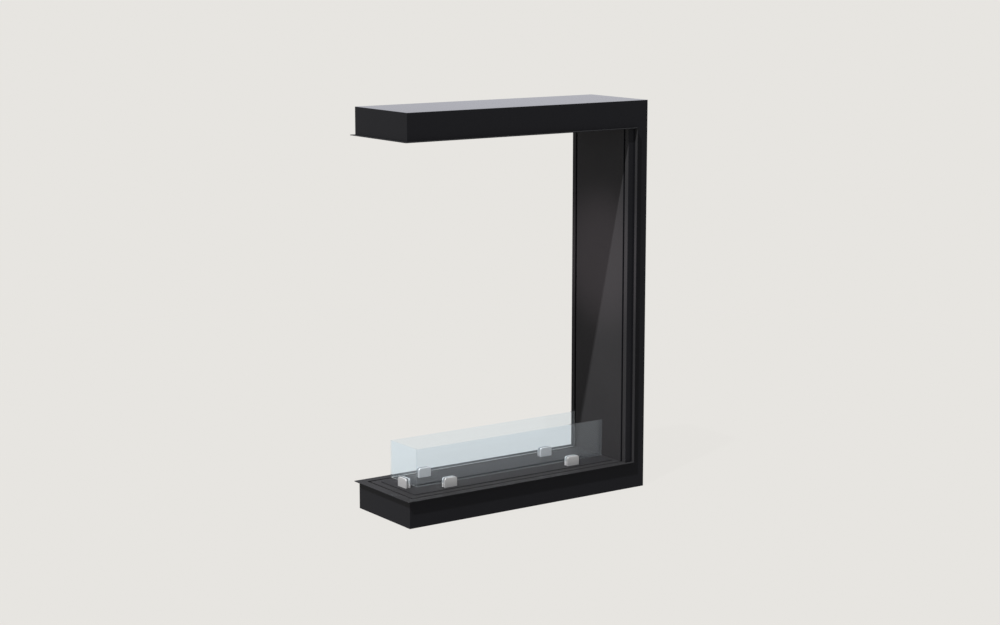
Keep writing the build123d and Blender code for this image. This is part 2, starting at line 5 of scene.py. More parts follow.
import bpy
import numpy as np
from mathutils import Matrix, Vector


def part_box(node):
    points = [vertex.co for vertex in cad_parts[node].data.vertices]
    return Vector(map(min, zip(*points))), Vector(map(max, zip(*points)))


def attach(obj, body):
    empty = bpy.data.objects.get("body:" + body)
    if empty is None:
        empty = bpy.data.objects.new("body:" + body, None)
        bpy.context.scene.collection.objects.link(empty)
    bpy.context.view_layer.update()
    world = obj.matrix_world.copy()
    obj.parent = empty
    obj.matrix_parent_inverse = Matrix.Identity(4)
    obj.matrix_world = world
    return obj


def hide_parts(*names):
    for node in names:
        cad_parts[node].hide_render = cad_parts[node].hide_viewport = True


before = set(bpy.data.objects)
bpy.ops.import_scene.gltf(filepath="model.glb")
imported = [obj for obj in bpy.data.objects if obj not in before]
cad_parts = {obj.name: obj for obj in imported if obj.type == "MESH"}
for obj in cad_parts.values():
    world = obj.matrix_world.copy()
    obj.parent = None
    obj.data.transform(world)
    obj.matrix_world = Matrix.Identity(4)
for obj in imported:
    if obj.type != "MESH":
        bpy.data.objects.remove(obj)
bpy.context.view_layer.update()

bl_info = {
    "name": "Bioethanol Fireplace",
    "version": (1, 0, 0),
    "blender": (4, 5, 0),
    "location": "3D Viewport > Sidebar > Fireplace",
    "description": "Builds the skins, fittings, finishes and studio of a bioethanol fireplace",
    "category": "Object",
}

MM = 0.001
CLAMP_NAMES = ("front_left", "front_right", "rear_left", "rear_right", "end")
BLACK_COAT = "black_powder_coat"  # slot of everything coated black but the burner

# facets of curved edges
ROUND_STEPS = 4                 # a rounded edge
CORNER_STEPS = 6                # a bend, or a corner of a plate
CLAMP_CORNER_STEPS = 8
PAD_CORNER_STEPS = 4
CHAMFER_STEPS = 1
SMOOTH_ANGLE = math.radians(35)
STRAIGHT_COSINE = 0.999         # from which two sides of an outline count as one line
SQUARE = (0, 0, 0, 0)           # radii of an outline with sharp corners

# parts of a unit normal along one axis
SIDE_SHARE = 0.45               # where an upright face and a flat one part
GLASS_FACE_SHARE = 0.99         # below which glass counts as an edge

# sizes
ARM_FOLD_EXTRA = 0.3 * MM       # by which the arm's folds are rounder than the long edges
LINER_SHEET = 2.0 * MM
LINER_LIP = 15.0 * MM           # from the groove's mouth to the end of a strip's inner wall
CEILING_SHEET = 2.0 * MM
TRAY_HOLE_RADIUS = 8.0 * MM
DECK_CORNER_RADIUS = 2.0 * MM
SLOT_CORNER_RADIUS = 0.5 * MM
PAD_MARGIN = 1.0 * MM           # to the top of the core and to the top of the cheek
PAD_CORNER_RADIUS = 1.5 * MM
PAD_CLEARANCE = 0.05 * MM
PAD_THICKNESS = 0.75 * MM
PAD_EDGE_RADIUS = 0.2 * MM

# fibre mat
MAT_COLUMNS = 161
MAT_ROWS = 29
MAT_EDGE = 5.0 * MM             # radius of the felt's edges
MAT_TOP_FALL = 0.8              # share of the edge's curve in the top
MAT_BOTTOM_FALL = 0.5
MAT_WAVE = 0.6 * MM
MAT_LONG_WAVE = (31, 57)        # radians a metre along X and Y
MAT_LONG_PHASE = 1.3
MAT_SLANT_WAVE = (83, 40)
MAT_SLANT_SHARE = 0.6

# finishes
COATS = {                       # material, group, colour, roughness and specular level
    "casing": ("casing_powder_coat", "fireplace_casing", "casing_colour", 0.06, 0.035),
    # painted light: the trim, plates and liner get lighter copies of the black coat, standing in
    # for the light that falls inside the opening
    "inner": ("inner_powder_coat", "fireplace_casing", "inner_painted_light_colour", 0.30, 0.006),
    "liner": ("liner_powder_coat", "fireplace_casing", "liner_painted_light_colour", 0.30, 0.006),
    "burner": ("burner_heat_coat", "fireplace_burner", "deck_colour", 0.30, 0.006),
}
# the screens' tints differ in depth as painted light and shade, the front one painted darkest
GLASS_TINTS_AND_SHADE = {"front": "front_glass_colour", "rear": "glass_colour", "end": "end_glass_colour"}
STAINLESS_GRAIN = (0.1, 3, 3)   # stretch of the scratches along X, Y and Z
CLAMP_GRAINS = {"long": (0.25, 6, 6), "across": (6, 0.25, 6)}
CLAMP_LIGHT_AND_SHADE = {                 # factors on the steel's colour that paint light and shade: inner cheeks and the end clamp's cheeks lit lighter, the end clamp's core shaded darker
    ("long", "outer"): 0.99,
    ("long", "inner"): 1.46,
    ("across", "outer"): 1.2,
    ("across", "inner"): 1.1,
    ("across", "core"): 0.5,
}

# studio
FLOOR_RADIUS = 40.0
FLOOR_SIDES = 96
FLOOR_DROP = 0.2 * MM           # below the foot of the part
FLOOR_SHADE = 0.51              # share of the backdrop's colour in the matt part of the floor
SHADOW_REACH = 4.0              # from the part, up to which the floor shows a shadow
SHADOW_SHARE = 0.03
SUN_PLACE = (0, 0, 3)
SUN_DIRECTION = (0.4705, 0.2164, -0.8554)
GLOW_PLACE = (-3.4, -0.02, 0.82)
GLOW_DIRECTION = (1.0, 0.0, 0.0)
GLOW_COLOUR = (1.0, 0.86, 0.90)


# ------------------------------------------------------------------ shader expressions


class Shade:
    """A node's output in an expression: arithmetic on it adds Math nodes to its tree."""

    def __init__(self, tree, socket):
        self.tree = tree
        self.socket = socket

    def __add__(self, other):
        return math_node(self.tree, "ADD", self, other)

    def __radd__(self, other):
        return math_node(self.tree, "ADD", other, self)

    def __rsub__(self, other):
        return math_node(self.tree, "SUBTRACT", other, self)

    def __mul__(self, other):
        return math_node(self.tree, "MULTIPLY", self, other)

    def __truediv__(self, other):
        return math_node(self.tree, "DIVIDE", self, other)

    def maximum(self, other):
        """The greater of this value and another."""
        return math_node(self.tree, "MAXIMUM", self, other)


def math_node(tree, operation, first, second):
    """Math node on two values, each a number or a node's output."""
    node = tree.nodes.new("ShaderNodeMath")
    node.operation = operation
    feed(tree, node.inputs[0], first)
    feed(tree, node.inputs[1], second)
    return Shade(tree, node.outputs[0])


def feed(tree, slot, value):
    """Links or sets one input socket."""
    if isinstance(value, Shade):
        tree.links.new(value.socket, slot)
    else:
        slot.default_value = value


class Finish:
    """A material or world whose nodes are added by node()."""

    def __init__(self, owner):
        owner.use_nodes = True
        self.owner = owner
        self.tree = owner.node_tree
        self.tree.nodes.clear()

    def node(self, kind, settings=None, inputs=None, output=0):
        """Adds a node, sets it up, feeds its sockets and gives back one of its outputs."""
        node = self.tree.nodes.new(kind)
        for key, value in (settings or {}).items():
            setattr(node, key, value)
        for key, value in (inputs or {}).items():
            feed(self.tree, node.inputs[key], value)
        return Shade(self.tree, node.outputs[output]) if len(node.outputs) else node

    def place(self, scale=(1, 1, 1)):
        """Object coordinates in metres, stretched by scale."""
        coordinates = self.node("ShaderNodeTexCoord", output="Object")
        return self.node("ShaderNodeMapping", inputs={"Vector": coordinates, "Scale": scale})

    def noise(self, per_metre, detail=2.0, roughness=0.5, stretch=(1, 1, 1)):
        """Noise between 0 and 1 with this many waves in a metre."""
        inputs = {
            "Vector": self.place(stretch),
            "Scale": per_metre,
            "Detail": detail,
            "Roughness": roughness,
        }
        return self.node("ShaderNodeTexNoise", inputs=inputs)

    def tint(self, factor, dark, light):
        """Colour between dark and light by factor."""
        settings = {"data_type": "RGBA", "clamp_factor": True}
        inputs = {0: factor, 6: (*dark, 1), 7: (*light, 1)}
        return self.node("ShaderNodeMix", settings, inputs, output=2)

    def bump(self, height, strength, distance):
        """Normal from a height in units of distance."""
        inputs = {"Height": height, "Strength": strength, "Distance": distance}
        return self.node("ShaderNodeBump", inputs=inputs)

    def backdrop(self, colour, strength):
        """Background shader of a world."""
        return self.node("ShaderNodeBackground", inputs={"Color": colour, "Strength": strength})

    def surface(self, inputs):
        """Principled surface as the material's output."""
        self.output(self.node("ShaderNodeBsdfPrincipled", inputs=inputs))

    def output(self, shader):
        """Sends a shader to the output."""
        owner = "World" if isinstance(self.owner, bpy.types.World) else "Material"
        self.node(f"ShaderNodeOutput{owner}", inputs={"Surface": shader})


def scaled(colour, factor):
    """A colour made lighter or darker by a factor."""
    return tuple(channel * factor for channel in colour)


def named_material(name, build, **values):
    """The material of that name, built on first use."""
    if name not in bpy.data.materials:
        build(Finish(bpy.data.materials.new(name)), **values)
    return bpy.data.materials[name]


def powder_coat(finish, colour, roughness, specular):
    """Fine matt powder coat: a slow shift of tone, specks and the pebbled skin of baked powder."""
    cloud = finish.noise(5.0, detail=3.0)
    specks = finish.noise(900.0, detail=1.0)
    pebbles = finish.noise(650.0, detail=2.0, roughness=0.6)
    tone = cloud * 0.7 + specks * 0.3
    finish.surface({
        "Base Color": finish.tint(tone, scaled(colour, 0.92), scaled(colour, 1.08)),
        "Roughness": roughness + cloud * 0.05 + specks * 0.03,
        "Specular IOR Level": specular,
        "Normal": finish.bump(pebbles, 0.12, 0.00008),
    })


def brushed_steel(finish, colour, roughness, grain, metallic):
    """Satin steel with fine scratches along one direction."""
    scratches = finish.noise(220.0, detail=4.0, roughness=0.7, stretch=grain)
    patches = finish.noise(30.0, detail=2.0)
    tone = scratches * 0.75 + patches * 0.25
    finish.surface({
        "Base Color": finish.tint(tone, scaled(colour, 0.85), scaled(colour, 1.12)),
        "Metallic": metallic,
        "Roughness": roughness - 0.04 + scratches * 0.08,
        "Normal": finish.bump(scratches, 0.10, 0.00005),
    })


def galvanised_sheet(finish, colour):
    """Zinc coat with large flat crystals that differ in tone and gloss."""
    crystals = finish.node(
        "ShaderNodeTexVoronoi",
        {"feature": "F1"},
        {"Vector": finish.place(), "Scale": 120.0, "Randomness": 1.0},
        output="Color",
    )
    crystal = finish.node("ShaderNodeSeparateColor", inputs={"Color": crystals}, output="Red")
    dust = finish.noise(40.0, detail=3.0)
    tone = crystal * 0.7 + dust * 0.3
    finish.surface({
        "Base Color": finish.tint(tone, scaled(colour, 0.78), scaled(colour, 1.1)),
        "Metallic": 0.9,
        "Roughness": 0.36 + crystal * 0.16,
        "Normal": finish.bump(crystal, 0.08, 0.0001),
    })


def clear_glass(finish, colour):
    """Clear toughened glass with a faint tint and the slightest unevenness of its surface."""
    waves = finish.noise(9.0, detail=1.0)
    finish.surface({
        "Base Color": (*colour, 1),
        "Roughness": 0.0,
        "IOR": 1.04,
        "Transmission Weight": 0.975,
        "Coat Weight": 0.3,
        "Normal": finish.bump(waves, 0.004, 0.0002),
    })


def ground_edge(finish, colour):
    """Polished edge of a glass sheet, a little paler than its faces and streaked by fine grit."""
    grit = finish.noise(1400.0, detail=2.0)
    finish.surface({
        "Base Color": finish.tint(grit, scaled(colour, 0.9), colour),
        "Roughness": 0.12 + grit * 0.06,
        "IOR": 1.02,
        "Transmission Weight": 0.979,
        "Normal": finish.bump(grit, 0.1, 0.0001),
    })


def silicone(finish, colour):
    """Soft black rubber with a dusty bloom."""
    bloom = finish.noise(160.0, detail=3.0)
    finish.surface({
        "Base Color": finish.tint(bloom, colour, scaled(colour, 1.8)),
        "Roughness": 0.62 + bloom * 0.12,
        "Specular IOR Level": 0.3,
        "Normal": finish.bump(bloom, 0.1, 0.0001),
    })


def ceramic_fibre(finish, colour):
    """Felted white fibre: short crossing strands over soft lumps, with painted shade greying the
    hollows.
    """
    strands_x = finish.noise(60.0, detail=5.0, roughness=0.75, stretch=(3, 26, 26))
    strands_y = finish.noise(60.0, detail=5.0, roughness=0.75, stretch=(26, 3, 26))
    lumps = finish.noise(70.0, detail=3.0)
    felt = strands_x.maximum(strands_y) * 0.7 + lumps * 0.3
    finish.surface({
        # painted shade: the felt height that sinks the hollows in the bump darkens the colour there
        "Base Color": finish.tint(felt, scaled(colour, 0.72), colour),
        "Roughness": 0.92,
        "Specular IOR Level": 0.2,
        "Sheen Weight": 0.2,
        "Normal": finish.bump(felt, 0.6, 0.0006),
    })


# ------------------------------------------------------------------ surfaces


def add_piece(name, part, material, body, slot_name, *nodes):
    """Makes one object from points and faces, rides it on a body and lets it stand for nodes."""
    points, faces = part
    mesh = bpy.data.meshes.new(name)
    mesh.from_pydata(np.asarray(points).tolist(), [], faces)
    mesh.validate()
    mesh.shade_smooth()
    mesh.set_sharp_from_angle(angle=SMOOTH_ANGLE)
    piece = bpy.data.objects.new(name, mesh)
    bpy.context.scene.collection.objects.link(piece)
    mesh.materials.append(material)
    even_normals(piece)
    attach(piece, body)
    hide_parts(*nodes)
    return piece


def even_normals(piece):
    """Shades large flats as flat and the rounds between them as round."""
    modifier = piece.modifiers.new("even_normals", "WEIGHTED_NORMAL")
    modifier.keep_sharp = True
    modifier.weight = 100


def joined(parts):
    """One list of points and faces from several."""
    points = []
    faces = []
    for part_points, part_faces in parts:
        start = len(points)
        points.extend(np.asarray(part_points).tolist())
        faces.extend([tuple(start + index for index in face) for face in part_faces])
    return points, faces


def band_faces(rings, count, wrapped=False):
    """Quads between rings of count points each, facing out of rings that run counterclockwise."""
    last = rings if wrapped else rings - 1
    ring, step = np.meshgrid(np.arange(last), np.arange(count), indexing="ij")
    upper = (ring + 1) % rings
    following = (step + 1) % count
    corners = (
        ring * count + step, ring * count + following,
        upper * count + following, upper * count + step,
    )
    return [tuple(quad) for quad in np.stack(corners, axis=-1).reshape(-1, 4).tolist()]


def capped(rings):
    """Closed body from rings of points: the first is its underside and the last its top."""
    count = rings.shape[1]
    faces = band_faces(len(rings), count)
    faces.append(tuple(range(count))[::-1])
    last = (len(rings) - 1) * count
    faces.append(tuple(range(last, last + count)))
    return rings.reshape(-1, 3), faces


def inset_rings(outline, insets):
    """Copies of a counterclockwise outline with each side moved inwards by its inset.

    A corner p between sides with inward normals a and b, moved by s and t, goes to
    p + (s + t)/2 (a + b)/(1 + a.b) + (s - t)/2 (a - b)/(1 - a.b). insets is rings x sides.
    """
    outline = np.asarray(outline, float)
    along = np.roll(outline, -1, axis=0) - outline
    along /= np.linalg.norm(along, axis=1, keepdims=True)
    after = np.stack((-along[:, 1], along[:, 0]), axis=1)
    before = np.roll(after, 1, axis=0)
    cosine = np.sum(after * before, axis=1)
    even = (after + before) / (1 + cosine)[:, None]
    straight = cosine > STRAIGHT_COSINE
    odd = (before - after) / np.where(straight, 1.0, 1 - cosine)[:, None]
    odd = np.where(straight[:, None], 0.0, odd)
    own = np.asarray(insets, float)
    previous = np.roll(own, 1, axis=1)
    mean = ((previous + own) / 2)[..., None]
    spread = ((previous - own) / 2)[..., None]
    return outline[None] + mean * even[None] + spread * odd[None]


def wall_section(low, high, low_round, high_round, steps=ROUND_STEPS):
    """Inset and height of points up a wall whose edges are rounded by quarter circles.

    At the turn t an edge of radius r is r (1 - cos t) inside the wall and r (1 - sin t) from the
    end. The turn runs from pi/2 to 0 at the low edge and back at the high one.
    """
    turn = np.linspace(0, math.pi / 2, steps + 1)
    section = []
    edges = ((low, low_round, 1, turn[::-1]), (high, high_round, -1, turn))
    for end, radius, inwards, turns in edges:
        if radius > 0:
            heights = end + inwards * (radius * (1 - np.sin(turns)))
            section.append(np.stack((radius * (1 - np.cos(turns)), heights), axis=1))
        else:
            section.append(np.array([[0.0, end]]))
    return np.concatenate(section)


def wall_rings(outline, section, sides=None):
    """Rings of points of an outline carried up a section, which the sides marked 1 follow."""
    sides = np.ones(len(outline)) if sides is None else np.asarray(sides, float)
    rings = inset_rings(outline, section[:, 0:1] * sides[None])
    heights = np.broadcast_to(section[:, 1, None, None], (*rings.shape[:2], 1))
    return np.concatenate((rings, heights), axis=2)


def rounded_plate(outline, low, high, low_round, high_round, sides=None, steps=ROUND_STEPS):
    """Flat plate over a counterclockwise outline whose edges are rounded by quarter circles."""
    section = wall_section(low, high, low_round, high_round, steps)
    return capped(wall_rings(outline, section, sides))


def holed_plate(outline, hole, low, high, high_round):
    """Plate, rounded at its upper edge, with a hole whose outline has as many points as its own.

    The rings go up the outer wall and down the wall of the hole.
    """
    outer = wall_rings(outline, wall_section(low, high, 0.0, high_round))
    inner = wall_rings(hole, np.array([[0.0, high], [0.0, low]]))
    rings = np.concatenate((outer, inner))
    return rings.reshape(-1, 3), band_faces(len(rings), len(outline), wrapped=True)


def turned(part, first, second, third):
    """A part with its own axes laid along three vectors and its faces kept outwards."""
    points, faces = part
    axes = np.array((first, second, third), float)
    moved = np.asarray(points) @ axes
    if np.linalg.det(axes) < 0:
        faces = [tuple(face[::-1]) for face in faces]
    return moved, faces


def upright(plate, across, sign=1):
    """A plate stood up with its thickness along X or Y, given as 0 or 1, outwards by sign."""
    axes = np.eye(3)
    return turned(plate, axes[1 - across], axes[2], sign * axes[across])


def thin_axis(place):
    """Axis, as a number, along which a clamp or screen is thin: X at the end, Y elsewhere."""
    return 0 if place == "end" else 1


def face_corners(low, high, across):
    """Lowest and highest corner of an upright box seen along its thin axis."""
    along = 1 - across
    return (low[along], low[2]), (high[along], high[2])


def depths(node):
    """Distances along Y from the middle of the part to the near and the far side of a node."""
    low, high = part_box(node)
    return sorted((abs(low[1]), abs(high[1])))


def rounded_path(path, radius, steps=CORNER_STEPS):
    """Path with each inner corner replaced by an arc of the given radius.

    With h half the turn, the arc starts radius tan h before the corner and ends as far behind it.
    Its points are centre + (sin(2h (1 - s)) a + sin(2h s) b) / sin 2h, where a and b lead from the
    centre to its ends and s runs from 0 to 1.
    """
    path = np.asarray(path, float)
    pieces = [path[:1]]
    for before, corner, after in zip(path[:-2], path[1:-1], path[2:]):
        inwards = (before - corner) / np.linalg.norm(before - corner)
        outwards = (after - corner) / np.linalg.norm(after - corner)
        half = math.acos(np.clip(-np.dot(inwards, outwards), -1, 1)) / 2
        reach = radius * math.tan(half)
        bisector = (inwards + outwards) / np.linalg.norm(inwards + outwards)
        centre = corner + bisector * radius / math.cos(half)
        start = corner + inwards * reach - centre
        end = corner + outwards * reach - centre
        share = np.linspace(0, 1, steps + 1)[:, None]
        arc = np.sin((1 - share) * 2 * half) * start + np.sin(share * 2 * half) * end
        pieces.append(centre + arc / math.sin(2 * half))
    pieces.append(path[-1:])
    return np.concatenate(pieces)


def folded_sheet(path, sheet, radius, low, high):
    """Bent sheet whose outer line is the path, with the material on its left, from low to high.

    The inner line is the outer one moved left by the sheet along its mitred normals.
    """
    outer = rounded_path(path, radius)
    along = np.diff(outer, axis=0)
    along /= np.linalg.norm(along, axis=1, keepdims=True)
    left = np.stack((-along[:, 1], along[:, 0]), axis=1)
    before = np.concatenate((left[:1], left))
    after = np.concatenate((left, left[-1:]))
    mitre = (before + after) / (1 + np.sum(before * after, axis=1))[:, None]
    outline = np.concatenate((outer, (outer + mitre * sheet)[::-1]))
    return rounded_plate(outline, low, high, 0.0, 0.0)


def second_finish(piece, material, chosen):
    """Gives the faces of a piece that a function picks by their normals a second material."""
    mesh = piece.data
    mesh.materials.append(material)
    normals = np.empty(len(mesh.polygons) * 3, np.float32)
    mesh.polygons.foreach_get("normal", normals)
    mesh.polygons.foreach_set("material_index", chosen(normals.reshape(-1, 3)).astype(np.int32))


def painted_shade_sides(piece):
    """Paints shade on the faces that look to the front or the rear by giving them the darker coat
    of the casing.
    """
    second_finish(piece, coat("casing"), lambda normals: np.abs(normals[:, 1]) > SIDE_SHARE)


def painted_shade_rim(piece):
    """Paints shade on the narrow upright faces of flat trim by giving them the darker coat of the
    casing.
    """
    second_finish(piece, coat("casing"), lambda normals: np.abs(normals[:, 2]) < SIDE_SHARE)


def paler_edges(piece, across):
    """Gives the faces of a screen that don't look along its thin axis the ground edge's finish."""
    second_finish(
        piece, glass_edge(), lambda normals: np.abs(normals[:, across]) < GLASS_FACE_SHARE
    )


def corner_arcs(low, high, radii, steps=CORNER_STEPS):
    """Counterclockwise rectangle whose corners, from the lowest one round, have their own radii."""
    signs = ((1, 1), (-1, 1), (-1, -1), (1, -1))
    corners = ((low[0], low[1]), (high[0], low[1]), (high[0], high[1]), (low[0], high[1]))
    points = []
    for index, (corner, sign, radius) in enumerate(zip(corners, signs, radii)):
        if radius == 0:
            points.append(np.array([corner], float))
            continue
        centre = np.array(corner) + np.array(sign) * radius
        turn = math.pi + index * math.pi / 2 + np.linspace(0, math.pi / 2, steps + 1)
        points.append(centre + radius * np.stack((np.cos(turn), np.sin(turn)), axis=1))
    return np.concatenate(points)


def mat_surfaces(half):
    """Points of the fibre mat's top and bottom about its middle, as two grids, from half its size.

    With d the distance from the nearest side, e the edge's radius and
    f = e (1 - sqrt(1 - (1 - d/e)^2)), the top is at h - 0.8 f + w and the bottom at -h + 0.5 f.
    The waves w = a (sin(31 x + 1.3) cos(57 y) + 0.6 sin(83 x - 40 y) - 1.6) never rise above 0.
    """
    shares = (np.linspace(-1, 1, MAT_COLUMNS), np.linspace(-1, 1, MAT_ROWS))
    u, v = np.meshgrid(*shares, indexing="ij")
    x = half[0] * u
    y = half[1] * v
    from_edge = np.minimum(half[0] - np.abs(x), half[1] - np.abs(y))
    outwards = 1 - np.clip(from_edge / MAT_EDGE, 0, 1)
    fall = MAT_EDGE * (1 - np.sqrt(np.clip(1 - outwards ** 2, 0, 1)))
    along = np.sin(MAT_LONG_WAVE[0] * x + MAT_LONG_PHASE) * np.cos(MAT_LONG_WAVE[1] * y)
    slant = np.sin(MAT_SLANT_WAVE[0] * x - MAT_SLANT_WAVE[1] * y)
    waves = MAT_WAVE * (along + slant * MAT_SLANT_SHARE - (1 + MAT_SLANT_SHARE))
    top = half[2] - fall * MAT_TOP_FALL + waves
    bottom = -half[2] + fall * MAT_BOTTOM_FALL
    return np.stack((x, y, top), axis=-1), np.stack((x, y, bottom), axis=-1)


def slab(upper, lower):
    """Closed body between two grids of points with the same plan."""
    columns, rows = upper.shape[:2]
    count = columns * rows
    points = np.concatenate((upper.reshape(-1, 3), lower.reshape(-1, 3)))
    grid = np.arange(count).reshape(columns, rows)
    corners = (grid[:-1, :-1], grid[1:, :-1], grid[1:, 1:], grid[:-1, 1:])
    quads = np.stack(corners, axis=-1).reshape(-1, 4)
    rim = np.concatenate((grid[:-1, 0], grid[-1, :-1], grid[:0:-1, -1], grid[0, :0:-1]))
    following = np.roll(rim, -1)
    walls = np.stack((rim, rim + count, following + count, following), axis=-1)
    faces = np.concatenate((quads, quads[:, ::-1] + count, walls)).tolist()
    return points, faces


# ------------------------------------------------------------------ settings


def colour_property(name, description, default):
    """Colour that a user may change, in linear light."""
    return bpy.props.FloatVectorProperty(
        name=name, description=description, default=default,
        subtype="COLOR", size=3, min=0.0, max=1.0,
    )


def length_property(name, description, default):
    """Length in metres that a user may change."""
    return bpy.props.FloatProperty(
        name=name, description=description, default=default,
        unit="LENGTH", subtype="DISTANCE", min=0.0,
    )


class FireplaceCasingSettings(bpy.types.PropertyGroup):
    """Sizes and colours of the folded steel."""

    edge_radius: length_property("Edge Radius", "Radius of the casing's long edges", 1.0 * MM)
    trim_radius: length_property("Trim Radius", "Rounding of the trim's cut edges", 0.6 * MM)
    bend_radius: length_property("Bend Radius", "Outer radius of the liner's bends", 2.5 * MM)
    plate_radius: length_property("Plate Radius", "Radius of the plates' folded edges", 1.5 * MM)
    tank_gap: length_property("Tank Gap", "Gap between the plate and the tank", 2.0 * MM)
    casing_colour: colour_property(
        "Casing", "Colour of the casing's coat", (0.0098, 0.0099, 0.0117)
    )
    # painted light: these two coats are lighter than the casing's coat only to stand in for the
    # light inside the opening
    inner_painted_light_colour: colour_property(
        "Trim and Plates", "Colour of the coat inside the opening", (0.0240, 0.0237, 0.0249)
    )
    liner_painted_light_colour: colour_property(
        "Liner", "Colour of the coat on the column's liner", (0.0300, 0.0293, 0.0309)
    )
    zinc_colour: colour_property("Zinc", "Colour of the galvanised sheet", (0.52, 0.53, 0.54))


class FireplaceBurnerSettings(bpy.types.PropertyGroup):
    """Sizes and colours of the burner, its glass and its clamps."""

    corner_radius: length_property("Clamp Corner", "Radius of the clamps' corners", 8.0 * MM)
    edge_radius: length_property("Clamp Edge", "Rounding of the clamps' outer edges", 0.8 * MM)
    deck_radius: length_property("Deck Edge", "Rounding of the deck's upper edge", 0.8 * MM)
    deck_colour: colour_property("Deck", "Colour of the burner's coat", (0.0212, 0.0212, 0.0228))
    clamp_colour: colour_property("Clamps", "Colour of the clamps' steel", (0.455, 0.455, 0.46))
    steel_colour: colour_property(
        "Stainless Steel", "Colour of the plain stainless parts", (0.56, 0.56, 0.55)
    )
    glass_chamfer: length_property("Glass Chamfer", "Bevel of the glass's edges", 0.6 * MM)
    # painted light and shade: the three glass tints differ only to match how bright each screen
    # looks
    glass_colour: colour_property("Glass", "Tint of the rear glass", (0.88, 0.93, 0.965))
    end_glass_colour: colour_property("End Glass", "Tint of the end glass", (0.865, 0.925, 0.97))
    front_glass_colour: colour_property(
        "Front Glass", "Tint of the front glass", (0.812, 0.865, 0.908)
    )
    edge_colour: colour_property("Glass Edge", "Colour of the glass's edges", (0.96, 0.985, 1.0))
    pad_colour: colour_property("Pads", "Colour of the silicone pads", (0.03, 0.03, 0.03))
    fibre_colour: colour_property("Fibre Mat", "Colour of the ceramic fibre", (0.80, 0.78, 0.73))


class FireplaceStudioSettings(bpy.types.PropertyGroup):
    """Light and background."""

    background: colour_property(
        "Background", "Colour of floor and backdrop", (0.799, 0.783, 0.752)
    )
    cool_sky: colour_property(
        "Reflected Sky", "Colour of the sky in reflections", (0.865, 0.87, 0.945)
    )
    sky_strength: bpy.props.FloatProperty(
        name="Sky", description="Strength of the even light", default=0.55, min=0.0
    )
    sun_strength: bpy.props.FloatProperty(
        name="Sun", description="Strength of the lamp that draws the shadow in the column",
        default=5.15, min=0.0,
    )
    glow_strength: bpy.props.FloatProperty(
        name="Glow", description="Power of the spotlight on the column's liner",
        default=425.0, min=0.0, unit="POWER",
    )


# ------------------------------------------------------------------ finishes by slot


def colour_of(group, name):
    """A colour that a user may change, from one of the fireplace's groups of settings."""
    return tuple(getattr(getattr(bpy.context.scene, group), name))


def coat(kind):
    """Black powder coat of the casing or the burner, or a lighter copy of it with painted light for
    the pieces inside the opening and for the liner.
    """
    name, group, colour, roughness, specular = COATS[kind]
    return named_material(
        name, powder_coat, colour=colour_of(group, colour), roughness=roughness, specular=specular
    )


def zinc():
    """Bare galvanised sheet."""
    colour = colour_of("fireplace_casing", "zinc_colour")
    return named_material("galvanised_sheet", galvanised_sheet, colour=colour)


def stainless():
    """Plain stainless steel of tank, collar, pins and screws."""
    return named_material(
        "stainless_steel", brushed_steel, colour=colour_of("fireplace_burner", "steel_colour"),
        roughness=0.30, grain=STAINLESS_GRAIN, metallic=1.0,
    )


def clamp_finish(clamp, place="outer"):
    """Satin steel brushed along the clamp, lightened or darkened with painted light and shade for
    its outer, inner or core piece.
    """
    direction = "across" if clamp == "end" else "long"
    colour = scaled(colour_of("fireplace_burner", "clamp_colour"), CLAMP_LIGHT_AND_SHADE[direction, place])
    return named_material(
        f"clamp_steel_{direction}_{place}", brushed_steel, colour=colour,
        roughness=0.32, grain=CLAMP_GRAINS[direction], metallic=0.4,
    )


def glass(side):
    """Clear glass of a screen; the depth of its tint differs from screen to screen as painted light
    and shade, deepest on the front screen.
    """
    colour = colour_of("fireplace_burner", GLASS_TINTS_AND_SHADE[side])
    return named_material(f"clear_{side}_glass", clear_glass, colour=colour)


def glass_edge():
    """Ground edge of the screens."""
    colour = colour_of("fireplace_burner", "edge_colour")
    return named_material("ground_glass_edge", ground_edge, colour=colour)


def dress(material, *names):
    """Gives carried-over nodes their finish."""
    for name in names:
        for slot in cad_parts[name].material_slots:
            slot.link = "OBJECT"
            slot.material = material


# ------------------------------------------------------------------ pieces


